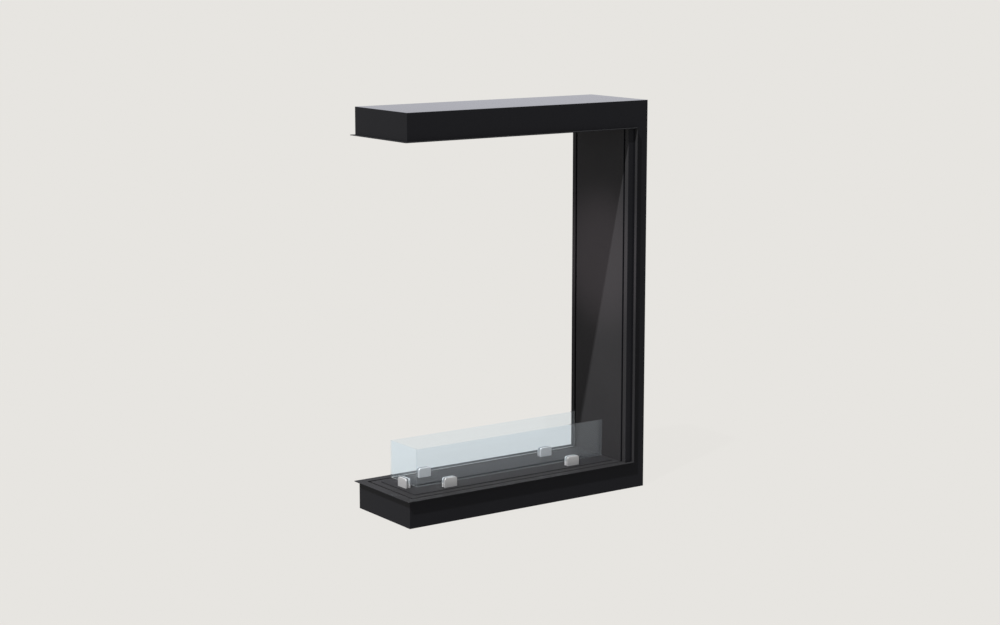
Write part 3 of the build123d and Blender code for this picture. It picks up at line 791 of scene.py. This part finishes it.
class FIREPLACE_OT_casing(bpy.types.Operator):
    """Build the C-shaped faces and the arm's cover as folded sheet"""

    bl_idname = "fireplace.casing"
    bl_label = "Casing"

    def execute(self, context):
        edge = context.scene.fireplace_casing.edge_radius
        fold = edge + ARM_FOLD_EXTRA
        low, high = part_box("front_casing_panel")
        opening_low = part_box("base_end_panel")[1][2]
        opening_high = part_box("arm_end_panel")[0][2]
        opening_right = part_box("column_flange")[1][0]
        arm_end = [(opening_right, high[2]), (low[0], high[2]), (low[0], opening_high)]
        outline = np.concatenate((
            [(low[0], low[2]), (high[0], low[2]), (high[0], high[2])],
            rounded_path(arm_end, fold)[1:-1],
            [(low[0], opening_high), (opening_right, opening_high)],
            [(opening_right, opening_low), (low[0], opening_low)],
        ))
        sides = np.ones(len(outline))
        sides[-4:-1] = 0        # sharp along the opening, where the trim laps over
        for place, side in (("front", -1), ("rear", 1)):
            node = f"{place}_casing_panel"
            inner, outer = depths(node)
            plate = rounded_plate(outline, inner, outer, 0.0, edge, sides)
            face = turned(plate, (1, 0, 0), (0, 0, 1), (0, side, 0))
            add_piece(f"{place}_casing_face", face, coat("casing"), "casing", BLACK_COAT, node)

        top_low, top_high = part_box("top_panel")
        end_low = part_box("arm_end_panel")[0]
        sheet = top_high[2] - top_low[2]
        path = [(top_high[0], top_high[2]), (end_low[0], top_high[2]), (end_low[0], end_low[2])]
        cover = folded_sheet(path, sheet, fold, top_low[1], top_high[1])
        cover = turned(cover, (1, 0, 0), (0, 0, 1), (0, 1, 0))
        nodes = ("top_panel", "arm_end_panel")
        add_piece("arm_cover", cover, coat("casing"), "casing", BLACK_COAT, *nodes)
        dress(coat("casing"), "bottom_panel", "right_side_panel", "base_end_panel")
        return {"FINISHED"}


class FIREPLACE_OT_trim(bpy.types.Operator):
    """Build the seamless trim around the opening, which laps over the plasterboard"""

    bl_idname = "fireplace.trim"
    bl_label = "Trim"

    def execute(self, context):
        radius = context.scene.fireplace_casing.trim_radius
        for prefix in ("base", "top"):
            low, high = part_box(f"{prefix}_flange_front")
            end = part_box(f"{prefix}_flange_end")[1]
            outer = -low[1]
            inner = -high[1]
            outline = [
                (low[0], -outer), (high[0], -outer), (high[0], -inner), (end[0], -inner),
                (end[0], inner), (high[0], inner), (high[0], outer), (low[0], outer),
            ]
            sides = (1, 0, 1, 1, 1, 0, 1, 1)
            trim = rounded_plate(outline, low[2], high[2], radius, radius, sides)
            nodes = [f"{prefix}_flange_{side}" for side in ("front", "rear", "end")]
            name = f"{prefix}_trim"
            painted_shade_rim(add_piece(name, trim, coat("inner"), "casing", BLACK_COAT, *nodes))

        low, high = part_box("column_flange")
        outline = corner_arcs(low[1:], high[1:], SQUARE)
        plate = rounded_plate(outline, low[0], high[0], radius, radius, (0, 1, 0, 1))
        trim = turned(plate, (0, 1, 0), (0, 0, 1), (1, 0, 0))
        painted_shade_sides(
            add_piece("column_trim", trim, coat("liner"), "casing", BLACK_COAT, "column_flange")
        )
        return {"FINISHED"}


class FIREPLACE_OT_liner(bpy.types.Operator):
    """Build the folded strips and the panel that line the column"""

    bl_idname = "fireplace.liner"
    bl_label = "Column Liner"

    def execute(self, context):
        radius = context.scene.fireplace_casing.bend_radius
        for place, side in (("front", -1), ("rear", 1)):
            node = f"column_liner_{place}"
            low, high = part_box(node)
            groove, outer = depths(node)
            lip = low[0] + LINER_LIP
            path = [(high[0], outer), (low[0], outer), (low[0], groove), (lip, groove)]
            strip = folded_sheet(path, LINER_SHEET, radius, low[2], high[2])
            strip = turned(strip, (1, 0, 0), (0, side, 0), (0, 0, 1))
            name = f"liner_strip_{place}"
            painted_shade_sides(add_piece(name, strip, coat("liner"), "casing", BLACK_COAT, node))

        node = "column_liner_panel"
        low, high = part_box(node)
        path = [(high[0], high[1]), (low[0], high[1]), (low[0], low[1]), (high[0], low[1])]
        panel = folded_sheet(path, LINER_SHEET, radius, low[2], high[2])
        painted_shade_sides(add_piece("liner_panel", panel, coat("liner"), "casing", BLACK_COAT, node))
        return {"FINISHED"}


class FIREPLACE_OT_plates(bpy.types.Operator):
    """Build the plate around the burner and the ceiling, and finish what is behind their grooves"""

    bl_idname = "fireplace.plates"
    bl_label = "Plates and Rails"

    def execute(self, context):
        settings = context.scene.fireplace_casing
        radius = settings.plate_radius
        gap = settings.tank_gap
        low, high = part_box("tray_surround")
        tank_low, tank_high = (np.array(corner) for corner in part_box("burner_tank"))
        outline = corner_arcs(low[:2], high[:2], (radius,) * 4)
        hole = corner_arcs((tank_low - gap)[:2], (tank_high + gap)[:2], (TRAY_HOLE_RADIUS,) * 4)
        plate = holed_plate(outline, hole, low[2], high[2], radius)
        add_piece("tray_plate", plate, coat("inner"), "casing", BLACK_COAT, "tray_surround")

        low, high = (np.array(corner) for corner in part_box("ceiling_panel"))
        wall = CEILING_SHEET
        outline = corner_arcs(low[:2], high[:2], (radius,) * 4)
        inside = corner_arcs((low + wall)[:2], (high - wall)[:2], (radius,) * 4)
        outer = wall_rings(outline, wall_section(low[2], high[2], radius, 0.0))
        inner = wall_rings(inside, np.array([[0.0, high[2]], [0.0, low[2] + wall]]))
        pan = capped(np.concatenate((outer, inner)))
        add_piece("ceiling_plate", pan, coat("inner"), "casing", BLACK_COAT, "ceiling_panel")
        sides = ("front", "rear", "end")
        rails = [f"{place}_rail_{side}" for place in ("tray", "ceiling") for side in sides]
        dress(coat("inner"), "tray_edge_strips", *rails)
        return {"FINISHED"}


class FIREPLACE_OT_inner_steel(bpy.types.Operator):
    """Finish the galvanised parts inside the casing"""

    bl_idname = "fireplace.inner_steel"
    bl_label = "Inner Steel"

    def execute(self, context):
        dress(zinc(), "column_liner_brackets", "corner_webs", "column_stiffener")
        dress(zinc(), "arm_stiffener", "spill_tray")
        return {"FINISHED"}


class FIREPLACE_OT_burner(bpy.types.Operator):
    """Build the burner's deck and finish its tank, collar, lid and hinge"""

    bl_idname = "fireplace.burner"
    bl_label = "Burner"

    def execute(self, context):
        low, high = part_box("burner_deck")
        slot_low, slot_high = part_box("slot_collar")
        outline = corner_arcs(low[:2], high[:2], (DECK_CORNER_RADIUS,) * 4)
        hole = corner_arcs(slot_low[:2], slot_high[:2], (SLOT_CORNER_RADIUS,) * 4)
        edge = context.scene.fireplace_burner.deck_radius
        deck = holed_plate(outline, hole, low[2], high[2], edge)
        slot_name = "black_burner_coat"
        add_piece("deck_plate", deck, coat("burner"), "burner_unit", slot_name, "burner_deck")
        dress(coat("burner"), "burner_lid", "lid_hinge_brackets")
        dress(stainless(), "burner_tank", "slot_collar", "lid_pivot_pins")
        return {"FINISHED"}


class FIREPLACE_OT_fibre_mat(bpy.types.Operator):
    """Build the ceramic fibre mat that soaks up the fuel"""

    bl_idname = "fireplace.fibre_mat"
    bl_label = "Fibre Mat"

    def execute(self, context):
        low, high = (np.array(corner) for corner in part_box("ceramic_absorber"))
        middle = (low + high) / 2
        upper, lower = mat_surfaces((high - low) / 2)
        mat = slab(upper + middle, lower + middle)
        colour = colour_of("fireplace_burner", "fibre_colour")
        felt = named_material("ceramic_fibre", ceramic_fibre, colour=colour)
        slot_name = "ceramic_fibre"
        piece = add_piece("fibre_mat", mat, felt, "burner_unit", slot_name, "ceramic_absorber")
        return {"FINISHED"}


class FIREPLACE_OT_clamps(bpy.types.Operator):
    """Build the clamps' rounded outer cheeks and finish what lies behind them"""

    bl_idname = "fireplace.clamps"
    bl_label = "Glass Clamps"

    def execute(self, context):
        settings = context.scene.fireplace_burner
        radii = (0, 0, settings.corner_radius, settings.corner_radius)
        slot_name = "brushed_clamp_steel"
        for clamp in CLAMP_NAMES:
            node = f"clamp_outer_cheek_{clamp}"
            low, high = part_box(node)
            across = thin_axis(clamp)
            outline = corner_arcs(*face_corners(low, high, across), radii, CLAMP_CORNER_STEPS)
            sides = np.ones(len(outline))
            sides[0] = 0        # sharp where it stands on the deck
            sign = 1 if low[across] + high[across] > 0 else -1
            near, far = sorted((sign * low[across], sign * high[across]))
            plate = rounded_plate(outline, near, far, 0.0, settings.edge_radius, sides)
            cheek = upright(plate, across, sign)
            finish = clamp_finish(clamp)
            add_piece(f"clamp_cheek_{clamp}", cheek, finish, "burner_unit", slot_name, node)
            dress(clamp_finish(clamp, "inner"), f"clamp_inner_cheek_{clamp}")
            # painted shade: the end clamp's core takes the darkened copy of the steel, as the shade
            # in the gap between its cheeks
            core = clamp_finish(clamp, "core" if clamp == "end" else "outer")
            dress(core, f"clamp_core_{clamp}")
        dress(clamp_finish("front_left", "inner"), "clamp_cross_screws")
        dress(stainless(), "clamp_floor_screws")
        return {"FINISHED"}


class FIREPLACE_OT_pads(bpy.types.Operator):
    """Build the silicone pads between the glass and the cheeks"""

    bl_idname = "fireplace.pads"
    bl_label = "Silicone Pads"

    def execute(self, context):
        parts = []
        for clamp in CLAMP_NAMES:
            across = thin_axis(clamp)
            along = 1 - across
            core_low, core_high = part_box(f"clamp_core_{clamp}")
            cheek_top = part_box(f"clamp_outer_cheek_{clamp}")[1][2]
            glass_low, glass_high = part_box("glass_" + clamp.split("_")[0])
            bottom = (core_low[along], core_high[2] + PAD_MARGIN)
            top = (core_high[along], cheek_top - PAD_MARGIN)
            outline = corner_arcs(bottom, top, (PAD_CORNER_RADIUS,) * 4, PAD_CORNER_STEPS)
            for face, sign in ((glass_low[across], -1), (glass_high[across], 1)):
                near = sign * face + PAD_CLEARANCE
                far = near + PAD_THICKNESS
                plate = rounded_plate(outline, near, far, PAD_EDGE_RADIUS, PAD_EDGE_RADIUS)
                parts.append(upright(plate, across, sign))
        colour = colour_of("fireplace_burner", "pad_colour")
        rubber = named_material("silicone_pad", silicone, colour=colour)
        pads = joined(parts)
        slot_name = "silicone_pad"
        piece = add_piece("silicone_pads", pads, rubber, "burner_unit", slot_name, "clamp_pads")
        return {"FINISHED"}


class FIREPLACE_OT_glass(bpy.types.Operator):
    """Build the three glass screens"""

    bl_idname = "fireplace.glass"
    bl_label = "Glass Screens"

    def execute(self, context):
        chamfer = context.scene.fireplace_burner.glass_chamfer
        for side in ("front", "rear", "end"):
            node = f"glass_{side}"
            low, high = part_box(node)
            across = thin_axis(side)
            outline = corner_arcs(*face_corners(low, high, across), SQUARE)
            edges = (low[across], high[across], chamfer, chamfer)
            pane = upright(rounded_plate(outline, *edges, steps=CHAMFER_STEPS), across)
            piece = add_piece(f"{side}_screen", pane, glass(side), node, "toughened_glass", node)
            paler_edges(piece, across)
            piece.visible_shadow = False
        return {"FINISHED"}


class FIREPLACE_OT_studio(bpy.types.Operator):
    """Build the floor, the lamps, the world and the camera"""

    bl_idname = "fireplace.studio"
    bl_label = "Studio"

    def execute(self, context):
        settings = context.scene.fireplace_studio
        background = tuple(settings.background)
        add_floor(context.scene, background)
        add_world(context.scene, background, settings)
        add_lamps(context.scene, settings)
        add_camera(context.scene)
        return {"FINISHED"}


def add_floor(scene, background):
    """Lays a round floor that looks like the backdrop and takes a faint shadow near the part."""
    turn = np.linspace(0, 2 * math.pi, FLOOR_SIDES, endpoint=False)
    heights = np.full(FLOOR_SIDES, -FLOOR_DROP)
    rim = np.stack((FLOOR_RADIUS * np.cos(turn), FLOOR_RADIUS * np.sin(turn), heights), axis=1)
    mesh = bpy.data.meshes.new("studio_floor")
    mesh.from_pydata(rim.tolist(), [], [tuple(range(FLOOR_SIDES))])
    floor = bpy.data.objects.new("studio_floor", mesh)
    scene.collection.objects.link(floor)
    finish = Finish(bpy.data.materials.new("studio_floor"))
    mesh.materials.append(finish.owner)
    seen = finish.node("ShaderNodeLightPath", output="Is Diffuse Ray")
    length = {"operation": "LENGTH"}
    distance = finish.node("ShaderNodeVectorMath", length, {0: finish.place()}, output="Value")
    near = (1 - distance / SHADOW_REACH).maximum(0.0)
    colour = (*scaled(background, FLOOR_SHADE), 1)
    matt = finish.node("ShaderNodeBsdfDiffuse", inputs={"Color": colour})
    glow = finish.node("ShaderNodeEmission", inputs={"Color": (*background, 1), "Strength": 1.0})
    share = seen.maximum(near * SHADOW_SHARE)
    finish.output(finish.node("ShaderNodeMixShader", inputs={0: share, 1: glow, 2: matt}))


def add_world(scene, background, settings):
    """Makes a world that lights evenly, is seen as the backdrop and is mirrored a little cooler."""
    world = bpy.data.worlds.new("studio")
    scene.world = world
    sky = Finish(world)
    diffuse = sky.node("ShaderNodeLightPath", output="Is Diffuse Ray")
    glossy = sky.node("ShaderNodeLightPath", output="Is Glossy Ray")
    through = sky.node("ShaderNodeLightPath", output="Is Transmission Ray")
    plain = sky.backdrop((*background, 1), 1.0)
    cool = sky.backdrop((*settings.cool_sky, 1), 1.0)
    light = sky.backdrop((1, 1, 1, 1), settings.sky_strength)
    mirrored = glossy * (1 - through)
    shown = sky.node("ShaderNodeMixShader", inputs={0: mirrored, 1: plain, 2: cool})
    sky.output(sky.node("ShaderNodeMixShader", inputs={0: diffuse, 1: shown, 2: light}))


def add_lamps(scene, settings):
    """Adds the sun that draws the shadow in the column and the spotlight that lifts its liner."""
    sun = bpy.data.lights.new("column_sun", "SUN")
    sun.energy = settings.sun_strength
    sun.angle = math.radians(1.0)
    add_light(scene, sun, SUN_PLACE, SUN_DIRECTION)

    glow = bpy.data.lights.new("liner_glow", "SPOT")
    glow.energy = settings.glow_strength
    glow.color = GLOW_COLOUR
    glow.spot_size = math.radians(9.0)
    glow.spot_blend = 1.0
    glow.shadow_soft_size = 0.05
    lamp = add_light(scene, glow, GLOW_PLACE, GLOW_DIRECTION)
    lamp.visible_glossy = False


def add_light(scene, light, place, direction):
    """Places a lamp that shines along direction."""
    lamp = bpy.data.objects.new(light.name, light)
    scene.collection.objects.link(lamp)
    lamp.location = place
    lamp.rotation_euler = Vector(direction).to_track_quat("-Z", "Y").to_euler()
    lamp.visible_camera = False
    lamp.visible_transmission = False
    return lamp


def add_camera(scene):
    """Adds the camera, fitted to the corners of the object in the photograph."""
    camera = bpy.data.objects.new("camera", bpy.data.cameras.new("camera"))
    scene.collection.objects.link(camera)
    camera.location = (-4.1262, -5.8878, 1.9376)
    camera.rotation_euler = (math.radians(79.957), 0.0, math.radians(-34.944))
    camera.data.lens = 75.245
    camera.data.sensor_width = 36.0
    scene.camera = camera
    scene.view_settings.view_transform = "Standard"


# ------------------------------------------------------------------ panel and registration

OPERATORS = (
    FIREPLACE_OT_casing,
    FIREPLACE_OT_trim,
    FIREPLACE_OT_liner,
    FIREPLACE_OT_plates,
    FIREPLACE_OT_inner_steel,
    FIREPLACE_OT_burner,
    FIREPLACE_OT_fibre_mat,
    FIREPLACE_OT_clamps,
    FIREPLACE_OT_pads,
    FIREPLACE_OT_glass,
    FIREPLACE_OT_studio,
)

SETTINGS = {
    "fireplace_casing": FireplaceCasingSettings,
    "fireplace_burner": FireplaceBurnerSettings,
    "fireplace_studio": FireplaceStudioSettings,
}


class FIREPLACE_PT_panel(bpy.types.Panel):
    """Lists the fireplace's settings and the steps that build it"""

    bl_idname = "FIREPLACE_PT_panel"
    bl_label = "Bioethanol Fireplace"
    bl_space_type = "VIEW_3D"
    bl_region_type = "UI"
    bl_category = "Fireplace"

    def draw(self, context):
        for name, group in SETTINGS.items():
            box = self.layout.box()
            values = getattr(context.scene, name)
            for key in group.__annotations__:
                box.prop(values, key)
        for operator in OPERATORS:
            self.layout.operator(operator.bl_idname)


def register():
    """Registers settings, operators and panel."""
    for group in SETTINGS.values():
        bpy.utils.register_class(group)
    for name, group in SETTINGS.items():
        setattr(bpy.types.Scene, name, bpy.props.PointerProperty(type=group))
    for operator in OPERATORS:
        bpy.utils.register_class(operator)
    bpy.utils.register_class(FIREPLACE_PT_panel)


def unregister():
    """Takes everything that register() added away again."""
    bpy.utils.unregister_class(FIREPLACE_PT_panel)
    for operator in reversed(OPERATORS):
        bpy.utils.unregister_class(operator)
    for name in SETTINGS:
        delattr(bpy.types.Scene, name)
    for group in reversed(SETTINGS.values()):
        bpy.utils.unregister_class(group)


def main():
    """Builds everything in order."""
    register()
    for operator in OPERATORS:
        group, step = operator.bl_idname.split(".")
        getattr(getattr(bpy.ops, group), step)()


if __name__ == "__main__":
    main()
